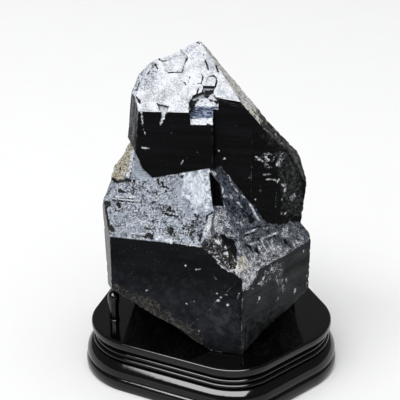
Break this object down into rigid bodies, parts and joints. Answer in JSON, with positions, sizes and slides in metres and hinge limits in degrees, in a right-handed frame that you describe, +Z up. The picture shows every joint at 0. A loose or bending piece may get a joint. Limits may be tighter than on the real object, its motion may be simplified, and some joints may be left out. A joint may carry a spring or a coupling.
{
  "type": "mineral specimen on stand",
  "caption": "Black smoky quartz specimen of intergrown crystals with pale sloping terminations, standing on a moulded, black lacquered wooden display stand with carved claws.",
  "frame": {"origin": "centre of the bounding box at the stand's flat underside, which stands on the floor", "axes": "+Z up, towards the upper crystal's tip; -Y towards the viewer who faces the specimen's front; +X to that viewer's right"},
  "size_m": [0.127, 0.1256, 0.163],
  "materials": {
    "quartz": "opaque black glassy crystal faces, striated on the sides and frosted pale grey on the terminations, rough on the breaks",
    "lacquer": "black high gloss lacquer over carved wood"
  },
  "bodies": {
    "root": {"crystal": "quartz", "stand": "lacquer"}
  },
  "joints": []
}
